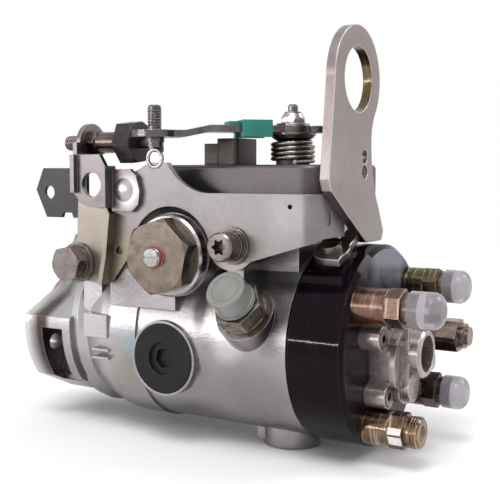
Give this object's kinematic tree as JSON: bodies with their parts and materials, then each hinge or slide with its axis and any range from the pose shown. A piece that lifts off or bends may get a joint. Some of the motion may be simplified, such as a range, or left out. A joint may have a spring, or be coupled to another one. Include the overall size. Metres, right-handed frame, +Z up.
{
  "type": "diesel injection pump",
  "caption": "Rotary distributor diesel injection pump: flange-mounted, with mechanical governor, throttle lever, stop and cable brackets, lifting eye and pipe outlets.",
  "frame": {"origin": "centre of the drive flange's mounting face, on the pump axis", "axes": "+X along the pump axis from the drive end towards the fuel outlets, +Z up, -Y the side with the brackets and adjusters"},
  "size_m": [0.233, 0.116, 0.1982],
  "materials": {
    "cast_aluminium": "satin casting with machined faces",
    "black_steel": "gloss black",
    "copper_steel": "copper-flashed steel",
    "olive_steel": "olive chromate",
    "brown_steel": "dark phosphate",
    "gold_steel": "gold chromate",
    "clear_plastic": "translucent white",
    "grey_casting": "fine grey casting",
    "bright_steel": "bright machined",
    "dull_steel": "dull grey steel",
    "black_rubber": "semi-gloss black",
    "zinc_sheet": "zinc-plated sheet",
    "dark_plate": "dark grey",
    "black_oxide": "black oxide",
    "green_plastic": "satin green",
    "spring_steel": "oiled spring wire"
  },
  "bodies": {
    "pump": {"housing": "cast_aluminium", "governor_cover": "cast_aluminium", "hydraulic_head": "black_steel", "outlet_1": "copper_steel", "outlet_2": "olive_steel", "outlet_3": "brown_steel", "outlet_4": "gold_steel", "outlet_caps": "clear_plastic", "end_plate": "grey_casting", "end_plug": "brown_steel", "case_screws": "bright_steel", "transfer_liner": "bright_steel", "timing_plug": "black_rubber", "leak_off_union": "copper_steel", "advance_collar": "dull_steel", "advance_cap": "dull_steel", "advance_adjuster": "bright_steel", "advance_spring": "spring_steel", "drive_seal": "black_rubber", "control_bracket": "zinc_sheet", "cover_block": "brown_steel", "return_spring": "spring_steel", "side_bracket": "zinc_sheet", "lifting_eye": "dull_steel", "cable_bracket": "zinc_sheet", "cable_plate": "dark_plate", "stop_bracket": "dull_steel", "bracket_bolt": "dull_steel", "washers": "dull_steel", "cap_screw": "dull_steel", "stop_screw": "dull_steel", "stop_collar": "dull_steel", "stop_locknut": "black_oxide"},
    "drive": {"drive_shaft": "bright_steel", "weight_cage": "dull_steel", "rotor": "bright_steel", "plungers": "bright_steel", "roller_shoes": "bright_steel", "rollers": "bright_steel", "transfer_rotor": "bright_steel"},
    "weight_1": {"weight_1": "dull_steel"},
    "weight_2": {"weight_2": "dull_steel"},
    "weight_3": {"weight_3": "dull_steel"},
    "weight_4": {"weight_4": "dull_steel"},
    "sleeve": {"thrust_sleeve": "bright_steel"},
    "arm": {"governor_arm": "dull_steel", "governor_spring": "spring_steel"},
    "link": {"governor_link": "bright_steel"},
    "valve": {"metering_valve": "bright_steel"},
    "cam": {"cam_ring": "bright_steel"},
    "advance": {"advance_piston": "bright_steel"},
    "regulator": {"regulating_piston": "bright_steel"},
    "throttle": {"throttle_shaft": "dull_steel", "throttle_lever": "dull_steel", "lever_clip": "green_plastic", "lever_stud": "brown_steel", "hook_spring": "bright_steel", "shaft_nut": "bright_steel", "spool_washer": "dull_steel"},
    "leak_cap": {"leak_off_cap": "clear_plastic"}
  },
  "joints": [
    {"name": "drive_spin", "type": "hinge", "parent": "pump", "child": "drive", "pos_m": [0, 0, 0], "axis": [1, 0, 0], "continuous": true},
    {"name": "sleeve_slide", "type": "slide", "parent": "drive", "child": "sleeve", "axis": [1, 0, 0], "range_m": [0, 0.0025]},
    {"name": "weight_1_swing", "type": "hinge", "parent": "drive", "child": "weight_1", "pos_m": [0.0475, 0.033, 0], "axis": [0, 0, 1], "range_deg": [0, 7.2]},
    {"name": "weight_2_swing", "type": "hinge", "parent": "drive", "child": "weight_2", "pos_m": [0.0475, 0, 0.033], "axis": [0, -1, 0], "range_deg": [0, 7.2]},
    {"name": "weight_3_swing", "type": "hinge", "parent": "drive", "child": "weight_3", "pos_m": [0.0475, -0.033, 0], "axis": [0, 0, -1], "range_deg": [0, 7.2]},
    {"name": "weight_4_swing", "type": "hinge", "parent": "drive", "child": "weight_4", "pos_m": [0.0475, 0, -0.033], "axis": [0, 1, 0], "range_deg": [0, 7.2]},
    {"name": "governor_arm_swing", "type": "hinge", "parent": "pump", "child": "arm", "pos_m": [0.079, 0, 0.047], "axis": [0, -1, 0], "range_deg": [0, 3.2]},
    {"name": "metering_valve_turn", "type": "hinge", "parent": "pump", "child": "valve", "pos_m": [0.146, 0, 0.04], "axis": [0, 0, 1], "range_deg": [0, 8.5]},
    {"name": "link_slide", "type": "slide", "parent": "pump", "child": "link", "axis": [-1, 0, 0], "range_m": [0, 0.0014]},
    {"name": "advance_slide", "type": "slide", "parent": "pump", "child": "advance", "axis": [0, -1, 0], "range_m": [0, 0.004], "stiffness_N_per_m": 800},
    {"name": "cam_ring_advance", "type": "hinge", "parent": "pump", "child": "cam", "pos_m": [0.097, 0, 0], "axis": [1, 0, 0], "range_deg": [0, 6]},
    {"name": "regulator_slide", "type": "slide", "parent": "pump", "child": "regulator", "axis": [-1, 0, 0], "range_m": [0, 0.0004]},
    {"name": "throttle_swing", "type": "hinge", "parent": "pump", "child": "throttle", "pos_m": [0.143, -0.012, 0.1], "axis": [0, 0, 1], "range_deg": [0, 45], "stiffness_Nm_per_rad": 0.03, "springref_deg": -17.19},
    {"name": "leak_cap_pull", "type": "slide", "parent": "pump", "child": "leak_cap", "axis": [0, -0.788, 0.6157], "range_m": [0, 0.03]}
  ],
  "couplings": [
    {"joint": "weight_1_swing", "follows": "sleeve_slide", "rad_per_m": 46.729},
    {"joint": "weight_2_swing", "follows": "sleeve_slide", "rad_per_m": 46.729},
    {"joint": "weight_3_swing", "follows": "sleeve_slide", "rad_per_m": 46.729},
    {"joint": "weight_4_swing", "follows": "sleeve_slide", "rad_per_m": 46.729},
    {"joint": "governor_arm_swing", "follows": "sleeve_slide", "rad_per_m": 21.3},
    {"joint": "link_slide", "follows": "sleeve_slide", "ratio": 0.516},
    {"joint": "metering_valve_turn", "follows": "sleeve_slide", "rad_per_m": 57.3},
    {"joint": "cam_ring_advance", "follows": "advance_slide", "rad_per_m": 25}
  ]
}
